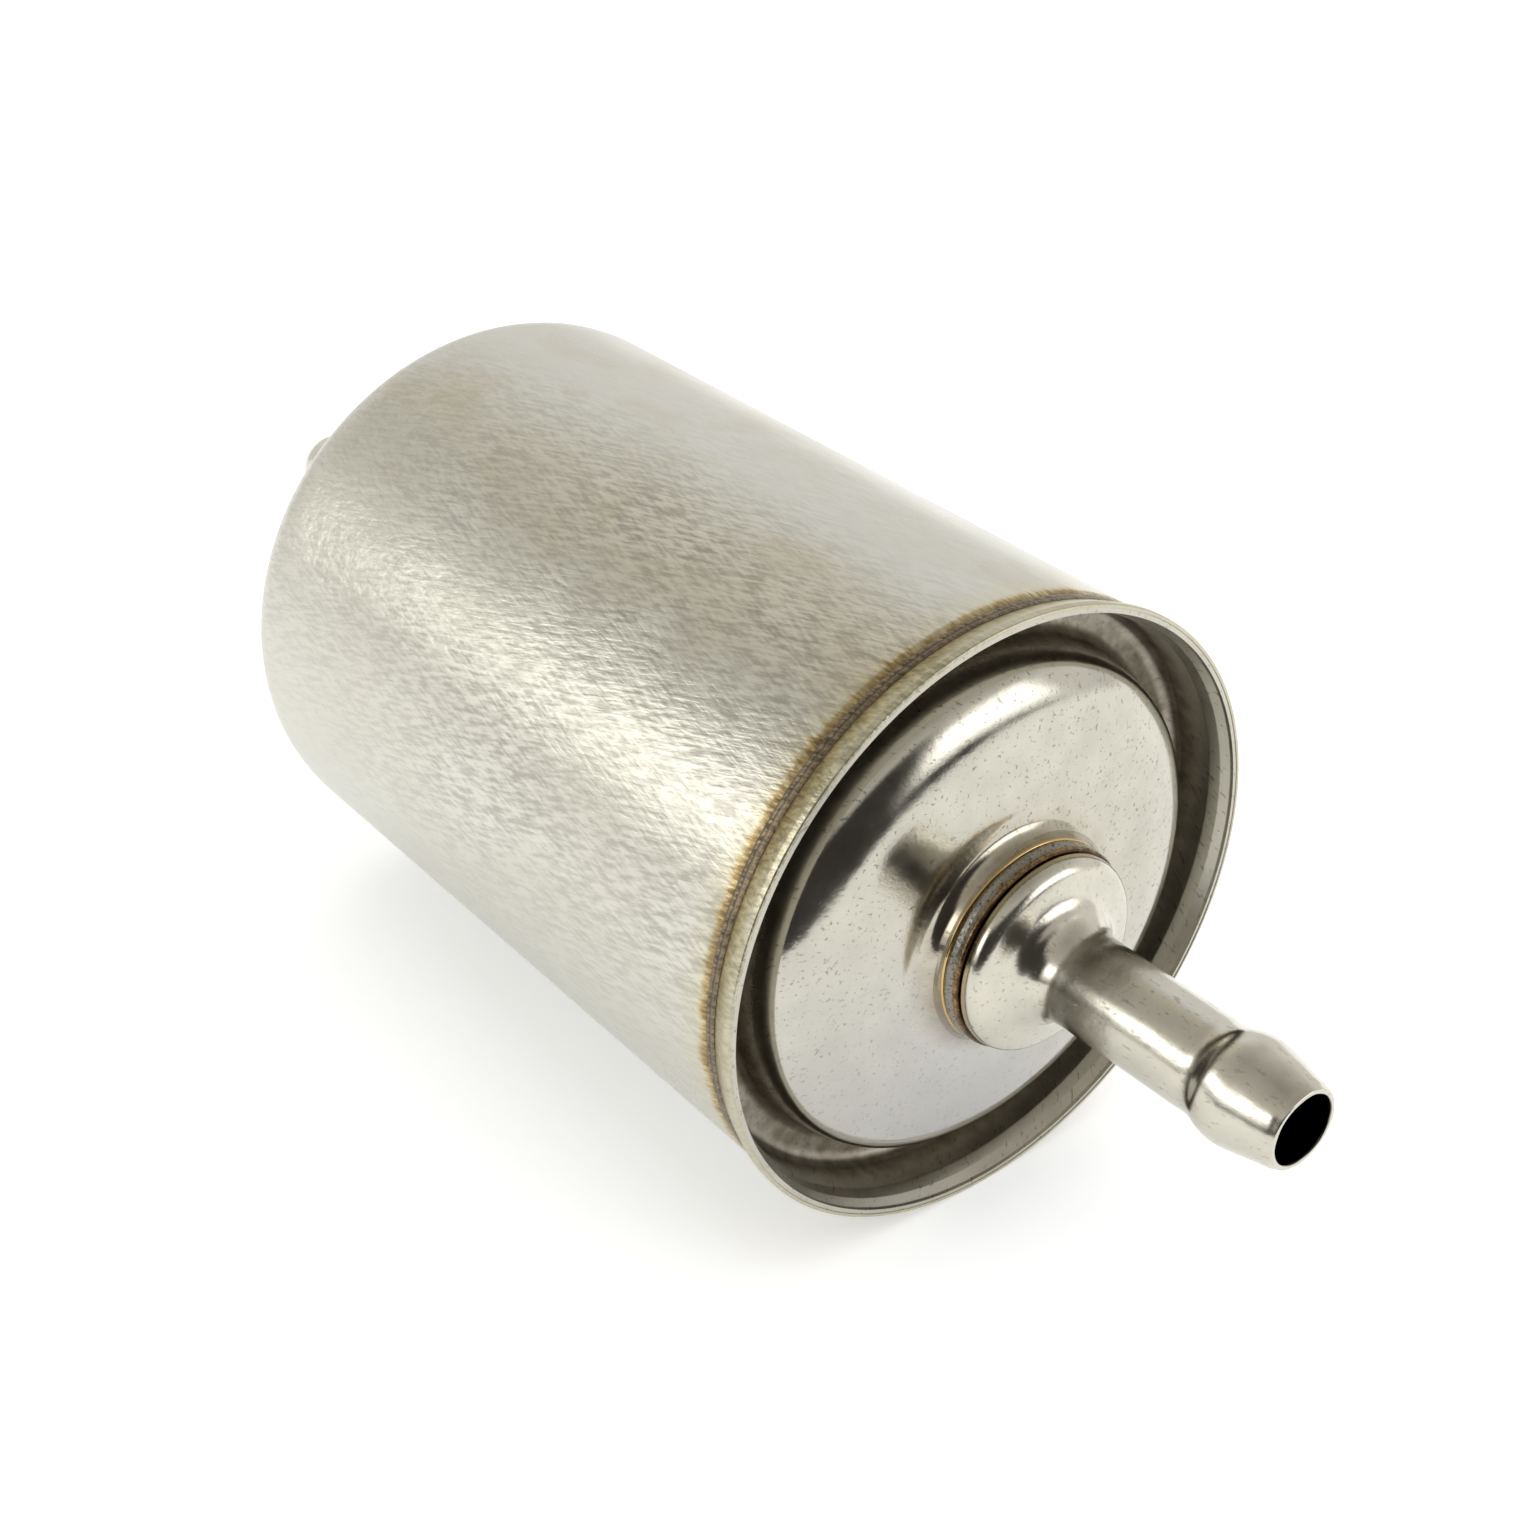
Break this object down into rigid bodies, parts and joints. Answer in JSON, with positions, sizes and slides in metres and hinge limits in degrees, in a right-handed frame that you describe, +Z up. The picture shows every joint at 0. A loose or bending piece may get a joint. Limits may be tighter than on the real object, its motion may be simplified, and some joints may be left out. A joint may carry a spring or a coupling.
{
  "type": "fuel filter",
  "caption": "In-line fuel filter: a welded stainless can with a domed, barbed hose fitting on each end and a spring-held pleated element inside.",
  "frame": {"origin": "middle of the overall length, on the surface that the lying can's rim rests on", "axes": "+X along the can towards the cover and the outlet, +Z up, +Y to the left seen along +X"},
  "size_m": [0.141, 0.0556, 0.0556],
  "materials": {
    "can_steel": "satin drawn stainless with fine streaks along the can",
    "cover_steel": "bright pressed stainless with light scuffs",
    "fitting_steel": "semi-bright formed stainless tube",
    "seam_weld": "laser weld bead with brown heat tint",
    "ring_weld": "ring weld with copper and gold heat tint",
    "tinplate": "satin tin-plated steel sheet",
    "spring_steel": "drawn spring wire, lightly oiled",
    "seal_rubber": "matt moulded fuel-resistant rubber",
    "adhesive": "cured end-cap adhesive, slightly glossy",
    "filter_paper": "resin-impregnated pleated filter paper",
    "hot_melt": "translucent hot-melt band"
  },
  "bodies": {
    "housing": {"housing_shell": "can_steel", "end_cover": "cover_steel", "cover_seam_weld": "seam_weld", "outlet_fitting": "fitting_steel", "inlet_fitting": "fitting_steel", "outlet_weld_ring": "ring_weld", "inlet_weld_ring": "ring_weld", "outlet_spigot": "tinplate", "inlet_baffle": "tinplate", "preload_spring": "spring_steel"},
    "element": {"outlet_grommet": "seal_rubber", "open_end_cap": "tinplate", "closed_end_cap": "tinplate", "open_end_potting": "adhesive", "closed_end_potting": "adhesive", "pleated_media": "filter_paper", "core_tube": "tinplate", "seam_clip": "tinplate", "pleat_band_1": "hot_melt", "pleat_band_2": "hot_melt", "pleat_band_3": "hot_melt"}
  },
  "joints": [
    {"name": "element_float", "type": "slide", "parent": "housing", "child": "element", "axis": [-1, 0, 0], "range_m": [0, 0.002], "stiffness_N_per_m": 1480, "springref_m": -0.004, "deforming": ["preload_spring"]}
  ]
}
